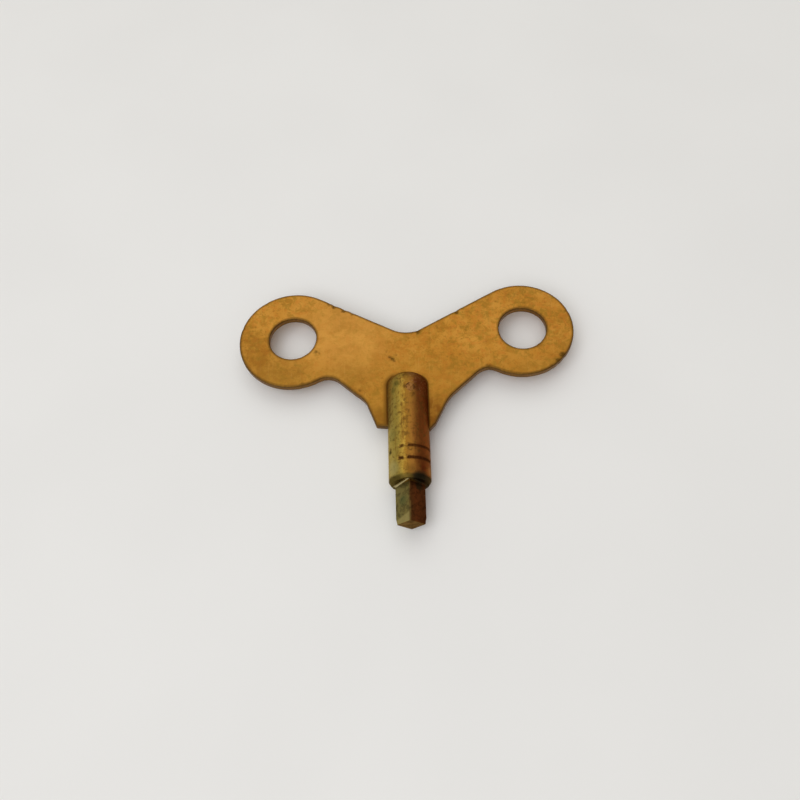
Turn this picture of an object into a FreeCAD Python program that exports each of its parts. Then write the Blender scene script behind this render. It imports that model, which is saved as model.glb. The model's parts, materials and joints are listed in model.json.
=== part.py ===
import FreeCAD, Part
import math
import os

import Sketcher

# A brass bleed key for a radiator's air vent. A butterfly bow, stamped from sheet, stands in
# the slot of a round shank, and a cross pin peened at both ends holds the two together. The
# shank is one turned bar: a domed fork at the bow, two ring grooves, a shoulder, and a square
# drive end with one corner towards the bow's face. The bow was finished by hand, so each wing
# has sizes of its own.
#
# Millimetres. The origin is the centre of the drive's end face, on the shank's axis. +X runs
# across the bow, +Y runs up the shank to the bow, and +Z stands out of the bow's face.

DIMENSIONS = {
    # bow, measured from the point on the shank's axis level with the finger holes
    "plate_thickness": 1.8,
    "hole_radius": 6.0,
    "valley_across": 0.3,
    "valley_height": 0.35,
    "valley_radius": 7.5,
    "notch_radius": 4.4,
    "flank_angle": 42.0,
    "left_hole_across": 28.95,
    "left_hole_rise": -0.15,
    "left_lobe_across": 28.85,
    "left_lobe_drop": 0.4,
    "left_lobe_radius": 13.8,
    "left_knee_across": 11.0,
    "left_knee_drop": 18.4,
    "left_knee_radius": 4.0,
    "left_ear_across": 7.7,
    "left_ear_drop": 25.8,
    "right_hole_across": 29.65,
    "right_hole_rise": 0.1,
    "right_lobe_across": 29.2,
    "right_lobe_drop": 0.0,
    "right_lobe_radius": 13.3,
    "right_knee_across": 11.7,
    "right_knee_drop": 17.3,
    "right_knee_radius": 11.0,
    "right_ear_across": 6.6,
    "right_ear_drop": 25.7,
    "tail_across": 5.1,
    "tail_drop": 27.2,
    "ear_rounding": 0.5,
    "edge_rounding": 0.2,
    # shank, measured from the drive's end face
    "bow_height": 50.75,
    "shank_radius": 5.0,
    "shank_top": 38.45,
    "dome_radius": 3.0,
    "slot_floor": 23.35,
    "shoulder_height": 9.65,
    "shoulder_radius": 4.5,
    "shoulder_slope": 0.8,
    "ring_height": 14.65,
    "ring_pitch": 3.0,
    "ring_radius": 0.25,
    "square_width": 5.0,
    "square_rounding": 0.15,
    "square_root_radius": 0.3,
    "lead_in_length": 1.5,
    "lead_in_depth": 0.2,
    # cross pin
    "pin_radius": 1.2,
    "pin_height": 33.15,
    "pin_across": 0.8,
}

SHEET = "sizes"
ORIGIN_POINT = (-1, 1)
ACROSS_AXIS = -1
UP_AXIS = -2
START, END, CENTRE = 1, 2, 3
FULL_TURN = 360
UP = FreeCAD.Vector(0, 0, 1)
TOLERANCE = 1e-6


def make_sheet(doc):
    """The driving dimensions, one aliased cell to a row."""
    sheet = doc.addObject("Spreadsheet::Sheet", SHEET)
    for row, (name, value) in enumerate(DIMENSIONS.items(), start=1):
        sheet.set(f"A{row}", name)
        sheet.set(f"B{row}", str(value))
        sheet.setAlias(f"B{row}", name)
    doc.recompute()


def size(name):
    """How an expression names one cell of the sheet."""
    return f"{SHEET}.{name}"


def point(across, up):
    return FreeCAD.Vector(across, up, 0)


# ---- sketches -------------------------------------------------------------------------------

def new_body(doc, label):
    body = doc.addObject("PartDesign::Body", label)
    body.Label = label
    return body


def new_sketch(body, name, plane="XY_Plane"):
    """A sketch on one of the body's own origin planes."""
    sketch = body.newObject("Sketcher::SketchObject", name)
    support = next(item for item in body.Origin.OriginFeatures if item.Role == plane)
    sketch.AttachmentSupport = (support, [""])
    sketch.MapMode = "FlatFace"
    return sketch


def drive(sketch, kind, references, expression):
    """A dimension whose value comes from the sheet."""
    value = sketch.evalExpression(expression)
    index = sketch.addConstraint(Sketcher.Constraint(kind, *references, value))
    sketch.setExpression(f"Constraints[{index}]", expression)


def place_point(sketch, target, across, up):
    """Holds a point at two distances from the sketch's origin."""
    drive(sketch, "DistanceX", (*ORIGIN_POINT, *target), across)
    drive(sketch, "DistanceY", (*ORIGIN_POINT, *target), up)


def join(sketch, kind, first, second):
    sketch.addConstraint(Sketcher.Constraint(kind, *first, *second))


def add_line(sketch, start, end):
    return sketch.addGeometry(Part.LineSegment(start, end), False)


def add_circle(sketch, centre, radius):
    circle = Part.Circle(centre, UP, radius)
    return sketch.addGeometry(circle, False)


def add_arc(sketch, centre, start, end):
    """An arc that turns anticlockwise from start to end."""
    first = math.atan2(start.y - centre.y, start.x - centre.x)
    last = math.atan2(end.y - centre.y, end.x - centre.x)
    if last < first:
        last += 2 * math.pi
    circle = Part.Circle(centre, UP, centre.distanceToPoint(start))
    return sketch.addGeometry(Part.ArcOfCircle(circle, first, last), False)


def add_polygon(sketch, corners):
    """A closed run of lines, each joined to the next; returns the lines in order."""
    lines = []
    for corner, following in zip(corners, corners[1:] + corners[:1]):
        lines.append(add_line(sketch, corner, following))
    for line, following in zip(lines, lines[1:] + lines[:1]):
        join(sketch, "Coincident", (line, END), (following, START))
    return lines


# ---- bow plate ------------------------------------------------------------------------------

def draw_bow_side(sketch, side, name):
    """One wing's edge, from the valley round the lobe and down to the ear.

    The points are drawn roughly, and the constraints pull them to size. side is 1 on the right
    and -1 on the left. Returns the slope line and the ear line.
    """
    def rough(across, up):
        return point(side * across, up)

    def arc(centre, first, second):
        """An arc with the ends' positions in the order they were asked for."""
        if side > 0:
            return add_arc(sketch, centre, first, second), START, END
        return add_arc(sketch, centre, second, first), END, START

    valley_end = rough(3.8, 1.3)
    slope_end = rough(22.7, 11.6)
    lobe_end = rough(22.4, -11.9)
    notch_end = rough(17.2, -12.5)
    knee_start = rough(11.2, -17.9)
    knee_end = rough(9.4, -20.3)
    ear_corner = rough(7.2, -25.6)

    slope = add_line(sketch, valley_end, slope_end)
    lobe, lobe_low, lobe_high = arc(rough(29.1, -0.2), lobe_end, slope_end)
    notch, notch_high, notch_low = arc(rough(20.2, -15.8), lobe_end, notch_end)
    flank = add_line(sketch, notch_end, knee_start)
    knee, knee_high, knee_low = arc(rough(15.7, -22.9), knee_start, knee_end)
    ear = add_line(sketch, knee_end, ear_corner)

    join(sketch, "Tangent", (slope, END), (lobe, lobe_high))
    join(sketch, "Tangent", (lobe, lobe_low), (notch, notch_high))
    join(sketch, "Tangent", (notch, notch_low), (flank, START))
    join(sketch, "Tangent", (flank, END), (knee, knee_high))
    join(sketch, "Tangent", (knee, knee_low), (ear, START))

    drive(sketch, "Radius", (lobe,), size(f"{name}_lobe_radius"))
    drive(sketch, "Radius", (notch,), size("notch_radius"))
    drive(sketch, "Radius", (knee,), size(f"{name}_knee_radius"))
    place_point(sketch, (lobe, CENTRE), f"{side} * {size(name + '_lobe_across')}",
                f"-{size(name + '_lobe_drop')}")
    place_point(sketch, (flank, END), f"{side} * {size(name + '_knee_across')}",
                f"-{size(name + '_knee_drop')}")
    place_point(sketch, (ear, END), f"{side} * {size(name + '_ear_across')}",
                f"-{size(name + '_ear_drop')}")
    heading = 180 if side > 0 else 0
    drive(sketch, "Angle", (flank,), f"({side} * {size('flank_angle')} - {heading}) * 1 deg")
    return slope, ear


def draw_bow_outline(sketch):
    """The bow's whole edge: a valley between two wings, and a tail with a slanting foot."""
    valley_low = point(-3.8, 1.3)
    valley_high = point(3.8, 1.3)
    valley = add_arc(sketch, point(0, 8.3), valley_low, valley_high)
    right_slope, right_ear = draw_bow_side(sketch, 1, "right")
    left_slope, left_ear = draw_bow_side(sketch, -1, "left")
    join(sketch, "Tangent", (valley, END), (right_slope, START))
    join(sketch, "Tangent", (valley, START), (left_slope, START))
    drive(sketch, "Radius", (valley,), size("valley_radius"))
    place_point(sketch, (valley, CENTRE), size("valley_across"),
                f"{size('valley_height')} + {size('valley_radius')}")

    tail_corner = point(5.1, -27.2)
    right_foot = add_line(sketch, point(6.5, -25.6), tail_corner)
    foot = add_line(sketch, tail_corner, point(-7.7, -25.7))
    join(sketch, "Coincident", (right_ear, END), (right_foot, START))
    join(sketch, "Coincident", (right_foot, END), (foot, START))
    join(sketch, "Coincident", (foot, END), (left_ear, END))
    place_point(sketch, (foot, START), size("tail_across"), f"-{size('tail_drop')}")


def make_bow_plate(doc):
    """The stamped bow, padded evenly to both sides of its middle plane."""
    body = new_body(doc, "bow_plate")
    outline = new_sketch(body, "bow_outline")
    draw_bow_outline(outline)
    for side, name in ((1, "right"), (-1, "left")):
        hole = add_circle(outline, point(side * 29.3, 0), 6)
        drive(outline, "Radius", (hole,), size("hole_radius"))
        place_point(outline, (hole, CENTRE), f"{side} * {size(name + '_hole_across')}",
                    size(f"{name}_hole_rise"))
    plate = body.newObject("PartDesign::Pad", "bow_sheet")
    plate.Profile = outline
    plate.SideType = "Symmetric"
    plate.setExpression("Length", size("plate_thickness"))
    doc.recompute()

    pin_hole = new_sketch(body, "bow_pin_hole_circle")
    circle = add_circle(pin_hole, point(0, -17.6), 1)
    drive(pin_hole, "Radius", (circle,), size("pin_radius"))
    place_point(pin_hole, (circle, CENTRE), size("pin_across"),
                f"{size('pin_height')} - {size('bow_height')}")
    cut = cut_through(body, pin_hole, "bow_pin_hole")
    doc.recompute()

    half = plate.Length.Value / 2
    ears = body.newObject("PartDesign::Fillet", "ear_corners")
    ears.Base = (cut, [name for name, edge in named_edges(cut) if is_ear_corner(edge)])
    ears.setExpression("Radius", size("ear_rounding"))
    doc.recompute()
    rim = body.newObject("PartDesign::Fillet", "stamped_edges")
    rim.Base = (ears, [name for name, edge in named_edges(ears) if is_outer_rim(edge, half)])
    rim.setExpression("Radius", size("edge_rounding"))
    body.Tip = rim
    body.setExpression("Placement.Base.y", size("bow_height"))
    return body


def named_edges(feature):
    return [(f"Edge{number}", edge) for number, edge in enumerate(feature.Shape.Edges, start=1)]


def is_ear_corner(edge):
    """An edge through the sheet's thickness at the foot of either ear."""
    if len(edge.Vertexes) != 2:
        return False
    start, end = (vertex.Point for vertex in edge.Vertexes)
    upright = math.hypot(start.x - end.x, start.y - end.y) < TOLERANCE
    corner_drop = min(DIMENSIONS["left_ear_drop"], DIMENSIONS["right_ear_drop"])
    outside_shank = abs(start.x) > DIMENSIONS["shank_radius"] + 1
    return upright and outside_shank and start.y <= -corner_drop + TOLERANCE


def is_outer_rim(edge, half):
    """An edge of either face that isn't the rim of a round hole."""
    box = edge.BoundBox
    flat = box.ZLength < TOLERANCE and abs(abs(box.ZMin) - half) < TOLERANCE
    return flat and len(edge.Vertexes) == 2


def cut_through(body, profile, name):
    """A pocket that runs right through the body, both ways from its sketch."""
    cut = body.newObject("PartDesign::Pocket", name)
    cut.Profile = profile
    cut.Type = "ThroughAll"
    cut.SideType = "Symmetric"
    return cut


# ---- shank ----------------------------------------------------------------------------------

def draw_bar_profile(sketch):
    """Half of the turned bar's section, from the shoulder up to the dome."""
    shoulder_inner = point(0, 9.4)
    shoulder_rim = point(4.5, 9.4)
    bar_foot = point(5, 10.2)
    bar_top = point(5, 36.2)
    crown_rim = point(2, 39.2)
    crown = point(0, 39.2)
    shoulder = add_line(sketch, shoulder_inner, shoulder_rim)
    slope = add_line(sketch, shoulder_rim, bar_foot)
    side = add_line(sketch, bar_foot, bar_top)
    dome = add_arc(sketch, point(2, 36.2), bar_top, crown_rim)
    top = add_line(sketch, crown_rim, crown)
    middle = add_line(sketch, crown, shoulder_inner)
    join(sketch, "Coincident", (shoulder, END), (slope, START))
    join(sketch, "Coincident", (slope, END), (side, START))
    join(sketch, "Tangent", (side, END), (dome, START))
    join(sketch, "Tangent", (dome, END), (top, START))
    join(sketch, "Coincident", (top, END), (middle, START))
    join(sketch, "Coincident", (middle, END), (shoulder, START))
    for line in (shoulder, top):
        sketch.addConstraint(Sketcher.Constraint("Horizontal", line))
    sketch.addConstraint(Sketcher.Constraint("Vertical", side))
    sketch.addConstraint(Sketcher.Constraint("PointOnObject", middle, START, UP_AXIS))
    sketch.addConstraint(Sketcher.Constraint("PointOnObject", middle, END, UP_AXIS))
    drive(sketch, "Radius", (dome,), size("dome_radius"))
    drive(sketch, "DistanceY", (*ORIGIN_POINT, top, START), size("shank_top"))
    place_point(sketch, (slope, START), size("shoulder_radius"), size("shoulder_height"))
    place_point(sketch, (slope, END), size("shank_radius"),
                f"{size('shoulder_height')} + {size('shoulder_slope')}")


def draw_square(sketch):
    """A square with its corners on the axes, so that one corner faces the bow's face."""
    reach = DIMENSIONS["square_width"] / math.sqrt(2)
    corners = [point(reach, 0), point(0, reach), point(-reach, 0), point(0, -reach)]
    sides = add_polygon(sketch, corners)
    for side, axis in zip(sides, (ACROSS_AXIS, UP_AXIS, ACROSS_AXIS, UP_AXIS)):
        sketch.addConstraint(Sketcher.Constraint("PointOnObject", side, START, axis))
    for first, second in zip(sides, sides[1:3]):
        sketch.addConstraint(Sketcher.Constraint("Perpendicular", first, second))
    drive(sketch, "Distance", (sides[0],), size("square_width"))


def draw_slot(sketch):
    """The slot as it is seen from the side, open past the top of the dome."""
    floor_low = point(23, -1)
    mouth_high = point(40, 1)
    corners = [floor_low, point(mouth_high.x, floor_low.y), mouth_high, point(floor_low.x, mouth_high.y)]
    lines = add_polygon(sketch, corners)
    for index, line in enumerate(lines):
        direction = "Vertical" if index % 2 else "Horizontal"
        sketch.addConstraint(Sketcher.Constraint(direction, line))
    half_width = f"{size('plate_thickness')} / 2"
    place_point(sketch, (lines[0], START), size("slot_floor"), f"-{half_width}")
    place_point(sketch, (lines[2], START), f"{size('shank_top')} + 1", half_width)


def make_shank(doc):
    """The turned bar with its rings, square drive, slot and pin hole."""
    body = new_body(doc, "shank")
    profile = new_sketch(body, "bar_profile")
    draw_bar_profile(profile)
    bar = body.newObject("PartDesign::Revolution", "turned_bar")
    bar.Profile = profile
    bar.ReferenceAxis = (profile, ["V_Axis"])
    bar.Angle = FULL_TURN
    doc.recompute()

    ring_section = new_sketch(body, "ring_section")
    circle = add_circle(ring_section, point(5, 14), 0.2)
    drive(ring_section, "Radius", (circle,), size("ring_radius"))
    place_point(ring_section, (circle, CENTRE), size("shank_radius"), size("ring_height"))
    ring = body.newObject("PartDesign::Groove", "ring_groove")
    ring.Profile = ring_section
    ring.ReferenceAxis = (ring_section, ["V_Axis"])
    ring.Angle = FULL_TURN
    doc.recompute()
    rings = body.newObject("PartDesign::LinearPattern", "ring_pair")
    rings.Originals = [ring]
    rings.Direction = (ring_section, ["V_Axis"])
    rings.setExpression("Length", size("ring_pitch"))
    rings.Occurrences = 2
    body.Tip = rings
    doc.recompute()

    square = new_sketch(body, "square_section", "XZ_Plane")
    square.setExpression("AttachmentOffset.Base.z", f"-{size('lead_in_length')}")
    draw_square(square)
    stem = body.newObject("PartDesign::Pad", "square_drive")
    stem.Profile = square
    stem.SideType = "Two sides"
    stem.setExpression("Length", size("lead_in_length"))
    stem.setExpression("TaperAngle", f"-atan({size('lead_in_depth')} / {size('lead_in_length')})")
    stem.setExpression("Length2", f"{size('shoulder_height')} - {size('lead_in_length')}")
    doc.recompute()
    finish_square(doc, body, stem)

    slot = new_sketch(body, "slot_section", "YZ_Plane")
    draw_slot(slot)
    cut_through(body, slot, "bow_slot")
    doc.recompute()

    pin_hole = new_sketch(body, "shank_pin_hole_circle")
    circle = add_circle(pin_hole, point(0, 32.9), 1)
    drive(pin_hole, "Radius", (circle,), size("pin_radius"))
    place_point(pin_hole, (circle, CENTRE), size("pin_across"), size("pin_height"))
    body.Tip = cut_through(body, pin_hole, "shank_pin_hole")
    return body


def finish_square(doc, body, stem):
    """Breaks the square's long corners and rounds its root at the shoulder."""
    width = DIMENSIONS["square_width"]
    shoulder = DIMENSIONS["shoulder_height"]

    def near_square(edge):
        middle = edge.BoundBox.Center
        return math.hypot(middle.x, middle.z) < width * 0.75

    def is_long_corner(edge):
        box = edge.BoundBox
        return near_square(edge) and box.YLength > width / 5 and box.YMax < shoulder + TOLERANCE

    def is_root(edge):
        box = edge.BoundBox
        level = box.YLength < TOLERANCE and abs(box.YMin - shoulder) < TOLERANCE
        return near_square(edge) and level and edge.Length < width

    corners = body.newObject("PartDesign::Fillet", "square_corners")
    corners.Base = (stem, [name for name, edge in named_edges(stem) if is_long_corner(edge)])
    corners.setExpression("Radius", size("square_rounding"))
    doc.recompute()
    root = body.newObject("PartDesign::Fillet", "square_root")
    root.Base = (corners, [name for name, edge in named_edges(corners) if is_root(edge)])
    root.setExpression("Radius", size("square_root_radius"))
    doc.recompute()


# ---- cross pin ------------------------------------------------------------------------------

def make_cross_pin(doc):
    """A round pin whose peened ends are dressed to the shank's own curve."""
    blank = doc.addObject("Part::Cylinder", "pin_blank")
    blank.setExpression("Radius", size("pin_radius"))
    blank.setExpression("Height", f"{size('shank_radius')} * 2 + 2")
    blank.setExpression("Placement.Base.x", size("pin_across"))
    blank.setExpression("Placement.Base.z", f"-{size('shank_radius')} - 1")
    dressing = doc.addObject("Part::Cylinder", "pin_dressing")
    dressing.setExpression("Radius", size("shank_radius"))
    dressing.setExpression("Height", f"{size('pin_radius')} * 4")
    dressing.Placement.Rotation = FreeCAD.Rotation(FreeCAD.Vector(1, 0, 0), -90)
    dressing.setExpression("Placement.Base.y", f"-{size('pin_radius')} * 2")
    pin = doc.addObject("Part::Common", "cross_pin")
    pin.Label = "cross_pin"
    pin.Base = blank
    pin.Tool = dressing
    pin.setExpression("Placement.Base.y", size("pin_height"))
    return pin


# ---- checks and files -----------------------------------------------------------------------

def check_document(doc):
    """Stops if any object failed or any sketch was left loose."""
    for item in doc.Objects:
        if "Invalid" in item.State or "Error" in item.State:
            raise RuntimeError(f"{item.Name} failed: {item.State}")
        if item.TypeId == "Sketcher::SketchObject" and item.solve() != 0:
            raise RuntimeError(f"{item.Name} has constraints that disagree")


def check_cuts(doc):
    """Stops if a cut took nothing from the feature before it."""
    cuts = ("bow_pin_hole", "ring_groove", "ring_pair", "bow_slot", "shank_pin_hole")
    for name in cuts:
        cut = doc.getObject(name)
        before = cut.BaseFeature
        if before is None:
            before = cut.Originals[0]
        removed = before.Shape.Volume - cut.Shape.Volume
        print(f"{name} removes {removed:.2f} mm3")
        if removed <= TOLERANCE:
            raise RuntimeError(f"{name} cut nothing")


def export(part):
    """One sub-part's file, in the whole key's frame."""
    shape = part.Shape
    if shape.isNull() or not shape.isValid():
        raise RuntimeError(f"{part.Label} has no valid shape")
    box = shape.BoundBox
    print(f"{part.Label}: {len(shape.Solids)} solid, {shape.Volume:.1f} mm3, "
          f"x {box.XMin:.2f} {box.XMax:.2f}, y {box.YMin:.2f} {box.YMax:.2f}, "
          f"z {box.ZMin:.2f} {box.ZMax:.2f}")
    shape.exportStep(os.path.join("parts", f"{part.Label}.step"))


def main():
    os.makedirs("parts", exist_ok=True)
    doc = FreeCAD.newDocument("bleed_key")
    make_sheet(doc)
    parts = [make_bow_plate(doc), make_shank(doc), make_cross_pin(doc)]
    doc.recompute()
    check_document(doc)
    check_cuts(doc)
    for part in parts:
        export(part)


main()
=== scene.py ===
import json
import math
import random

import bpy
from mathutils import Matrix, Vector
from mathutils.geometry import delaunay_2d_cdt

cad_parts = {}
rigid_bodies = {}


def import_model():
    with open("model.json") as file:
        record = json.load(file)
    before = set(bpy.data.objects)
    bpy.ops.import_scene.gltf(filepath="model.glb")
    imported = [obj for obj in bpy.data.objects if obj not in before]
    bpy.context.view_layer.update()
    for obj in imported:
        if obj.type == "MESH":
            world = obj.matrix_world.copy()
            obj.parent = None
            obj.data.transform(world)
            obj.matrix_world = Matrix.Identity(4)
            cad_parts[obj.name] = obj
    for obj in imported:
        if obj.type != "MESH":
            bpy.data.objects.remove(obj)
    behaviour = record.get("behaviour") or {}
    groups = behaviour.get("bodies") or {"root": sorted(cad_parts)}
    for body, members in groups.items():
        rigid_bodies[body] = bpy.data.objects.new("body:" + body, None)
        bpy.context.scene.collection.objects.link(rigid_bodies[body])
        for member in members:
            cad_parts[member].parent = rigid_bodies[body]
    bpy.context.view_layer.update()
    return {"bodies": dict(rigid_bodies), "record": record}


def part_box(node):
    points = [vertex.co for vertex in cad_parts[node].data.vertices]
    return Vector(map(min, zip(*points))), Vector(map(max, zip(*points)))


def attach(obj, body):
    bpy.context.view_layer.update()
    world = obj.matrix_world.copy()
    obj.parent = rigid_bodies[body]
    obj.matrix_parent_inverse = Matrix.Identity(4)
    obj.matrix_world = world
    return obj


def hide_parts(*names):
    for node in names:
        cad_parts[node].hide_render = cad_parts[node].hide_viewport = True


# A brass bleed key for a radiator vent, lying flat: a stamped butterfly bow in the slot of a turned
# shank, held by a peened cross pin. Everything is in metres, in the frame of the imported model.
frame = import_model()

MM = 0.001
SEED = 7
SHANK_LOW, SHANK_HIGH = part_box("shank")
PIN_LOW, PIN_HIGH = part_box("cross_pin")
MOUNTS = {mount["name"]: mount for mount in frame["record"]["mounts"]}

# Bow, measured from a point on the shank's axis that is about level with the lobes.
BOW_CENTRE = Vector((0, 50.75 * MM))
HALF_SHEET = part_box("bow_plate")[1].z
HOLE_RADIUS = MOUNTS["finger_hole_right"]["dims"]["r_mm"] * MM
VALLEY_RADIUS = 7.5 * MM
VALLEY_CENTRE = Vector((0.3 * MM, 0.35 * MM + VALLEY_RADIUS))
NOTCH_RADIUS = 4.4 * MM
FLANK_ANGLE = math.radians(42)
TAIL_CORNER = Vector((5.1 * MM, -27.2 * MM))
EAR_ROUNDING = 0.5 * MM
EDGE_ROUNDING = 0.25 * MM
# Each wing as drawn on the right: the hand-finished left wing isn't quite the right one's mirror.
RIGHT_WING = {
    "lobe": Vector((29.2, 0.0)) * MM,
    "radius": 13.3 * MM,
    "knee": Vector((11.7, -17.3)) * MM,
    "knee_radius": 11 * MM,
    "ear": Vector((6.6, -25.7)) * MM,
    "valley": VALLEY_CENTRE,
}
LEFT_WING = {
    "lobe": Vector((28.85, -0.4)) * MM,
    "radius": 13.8 * MM,
    "knee": Vector((11.0, -18.4)) * MM,
    "knee_radius": 4 * MM,
    "ear": Vector((7.7, -25.8)) * MM,
    "valley": Vector((-VALLEY_CENTRE.x, VALLEY_CENTRE.y)),
}

# Shank, measured from the drive's end face. The square's corners lie on the X and Z axes.
SHANK_RADIUS = SHANK_HIGH.x
SHANK_TOP = SHANK_HIGH.y
DOME_RADIUS = 3 * MM
SLOT_FLOOR = 23.35 * MM
SLOT_HALF = HALF_SHEET
SLOT_ANGLE = math.asin(SLOT_HALF / SHANK_RADIUS)
ANGLE_SLACK = 1e-6
SHOULDER_HEIGHT = 9.65 * MM
SHOULDER_RADIUS = 4.5 * MM
SHOULDER_SLOPE = 0.8 * MM
RING_HEIGHTS = (14.65 * MM, 17.65 * MM)
RING_RADIUS = 0.25 * MM
SQUARE_HALF = 2.5 * MM
SQUARE_POWER = 40  # the higher, the sharper the square's corners
LEAD_IN_LENGTH = 1.5 * MM
LEAD_IN_DEPTH = 0.2 * MM
ROOT_RADIUS = 0.3 * MM

# Cross pin. Its peened ends stand a hair proud of the shank.
PIN_ACROSS = (PIN_LOW.x + PIN_HIGH.x) / 2
PIN_HEIGHT = (PIN_LOW.y + PIN_HIGH.y) / 2
PIN_RADIUS = (PIN_HIGH.x - PIN_LOW.x) / 2
PIN_PROUD = 0.03 * MM
PIN_POINTS = 48

# The camera stands on the drive's side of the key and looks down at a point on its middle plane.
CAMERA_TARGET = Vector((-1.92, 32.11, 0)) * MM
CAMERA_DISTANCE = 202.88 * MM
CAMERA_AZIMUTH = math.radians(3.89)
CAMERA_ELEVATION = math.radians(62.31)
CAMERA_ROLL = math.radians(-5.78)
CAMERA_LENS = 37.19

FLOOR_HALF = 3.0
FLOOR_GAP = 0.02 * MM


# ---- mesh helpers ---------------------------------------------------------------------------

def lerp(first, second, share):
    return first + (second - first) * share


def smooth_step(value, low, high):
    """0 below low, 1 above high, and a smooth S between them."""
    share = min(max((value - low) / (high - low), 0), 1)
    return share * share * (3 - 2 * share)


def arc_points(centre, radius, start, turn, step=0.3 * MM):
    """Points along an arc; a positive turn is anticlockwise."""
    count = max(2, math.ceil(abs(turn) * radius / step))
    angles = [start + turn * index / count for index in range(count + 1)]
    return [centre + radius * Vector((math.cos(a), math.sin(a))) for a in angles]


def line_points(start, end, step=0.45 * MM):
    count = max(1, math.ceil((end - start).length / step))
    return [lerp(start, end, index / count) for index in range(count + 1)]


def heading(vector):
    return math.atan2(vector.y, vector.x)


def joined(*runs):
    """Runs of points as one, with the shared points between them kept once."""
    points = []
    for run in runs:
        for place in run:
            if not points or (place - points[-1]).length > 1e-7:
                points.append(place)
    return points


def outward_normals(points):
    """The outward normal at each point of a closed anticlockwise run."""
    normals = []
    for index, place in enumerate(points):
        before = points[index - 1]
        after = points[(index + 1) % len(points)]
        along = (place - before).normalized() + (after - place).normalized()
        normals.append(Vector((along.y, -along.x)).normalized())
    return normals


def between_rings(first, second):
    """The quads that join two closed rings with the same number of points."""
    count = len(first)
    return [(first[index], second[index], second[(index + 1) % count], first[(index + 1) % count])
            for index in range(count)]


def new_piece(name, vertices, faces, material):
    """A shaded mesh object that rides on the key's one body and has a slot's finish."""
    mesh = bpy.data.meshes.new(name)
    mesh.from_pydata(vertices, [], faces)
    mesh.validate()
    mesh.update()
    mesh.shade_smooth()
    mesh.materials.append(material)
    piece = bpy.data.objects.new(name, mesh)
    bpy.context.scene.collection.objects.link(piece)
    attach(piece, next(iter(frame["bodies"])))
    return piece


def set_mask(piece, name, values):
    """A value at each vertex that the material reads by name."""
    layer = piece.data.attributes.new(name, "FLOAT", "POINT")
    layer.data.foreach_set("value", values)


# ---- bow ------------------------------------------------------------------------------------

def slope_tangent(valley, lobe, radius):
    """The line from the valley's arc up to the lobe: its two ends."""
    between = valley - lobe
    lean = math.acos((radius + VALLEY_RADIUS) / between.length)
    normal_angle = heading(between) - lean
    normal = Vector((math.cos(normal_angle), math.sin(normal_angle)))
    return valley - normal * VALLEY_RADIUS, lobe + normal * radius


def wing_edge(wing):
    """Half of the bow's edge as drawn on the right, from the ear round the lobe to the valley."""
    lobe, radius, knee = wing["lobe"], wing["radius"], wing["knee"]
    uphill = Vector((math.cos(FLANK_ANGLE), math.sin(FLANK_ANGLE)))
    outside = Vector((uphill.y, -uphill.x))

    knee_centre = knee + outside * wing["knee_radius"]
    to_ear = wing["ear"] - knee_centre
    knee_top = heading(knee - knee_centre)
    knee_low = heading(to_ear) % math.tau - math.acos(wing["knee_radius"] / to_ear.length)
    knee_arc = arc_points(knee_centre, wing["knee_radius"], knee_low, knee_top - knee_low)

    start = knee + outside * NOTCH_RADIUS - lobe
    reach = radius + NOTCH_RADIUS
    along = -start.dot(uphill) - math.sqrt(start.dot(uphill) ** 2 - start.dot(start) + reach ** 2)
    notch_centre = lobe + start + uphill * along
    to_notch = heading(notch_centre - lobe)
    notch_low = heading(-outside)
    notch_turn = (to_notch + math.pi - notch_low) % math.tau
    if notch_turn > math.pi:
        notch_turn -= math.tau
    notch_arc = arc_points(notch_centre, NOTCH_RADIUS, notch_low, notch_turn)

    valley_end, lobe_top = slope_tangent(wing["valley"], lobe, radius)
    lobe_turn = (heading(lobe_top - lobe) - to_notch) % math.tau
    lobe_arc = arc_points(lobe, radius, to_notch, lobe_turn)

    valley_start = heading(valley_end - wing["valley"])
    valley_arc = arc_points(wing["valley"], VALLEY_RADIUS, valley_start, -math.pi / 2 - valley_start)
    return joined(line_points(wing["ear"], knee_arc[0]), knee_arc,
                  line_points(knee, notch_arc[0]), notch_arc, lobe_arc,
                  line_points(lobe_top, valley_end), valley_arc)


def rounded_corner(before, corner, after, radius):
    """The arc that rounds a corner between two runs."""
    towards, away = (before - corner).normalized(), (after - corner).normalized()
    half = math.acos(max(-1, min(1, towards.dot(away)))) / 2
    back = radius / math.tan(half)
    centre = corner + (towards + away).normalized() * (radius / math.sin(half))
    start = heading(corner + towards * back - centre)
    turn = (heading(corner + away * back - centre) - start + math.pi) % math.tau - math.pi
    return arc_points(centre, radius, start, turn, step=0.12 * MM)


def bow_outline():
    """The bow's whole edge, anticlockwise, in the frame's own place."""
    right = wing_edge(RIGHT_WING)
    left = [Vector((-place.x, place.y)) for place in reversed(wing_edge(LEFT_WING))]
    ear = left[-1]
    ear_arc = rounded_corner(left[-3], ear, TAIL_CORNER, EAR_ROUNDING)
    left = [place for place in left if (place - ear).length > EAR_ROUNDING * 1.2]
    points = joined(right, left, ear_arc, line_points(ear_arc[-1], TAIL_CORNER),
                    line_points(TAIL_CORNER, right[0]))[:-1]
    return [place + BOW_CENTRE for place in points]


def hole_outline(centre, radius, step=0.3 * MM):
    return arc_points(centre, radius, 0, math.tau, step)[:-1]


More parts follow.
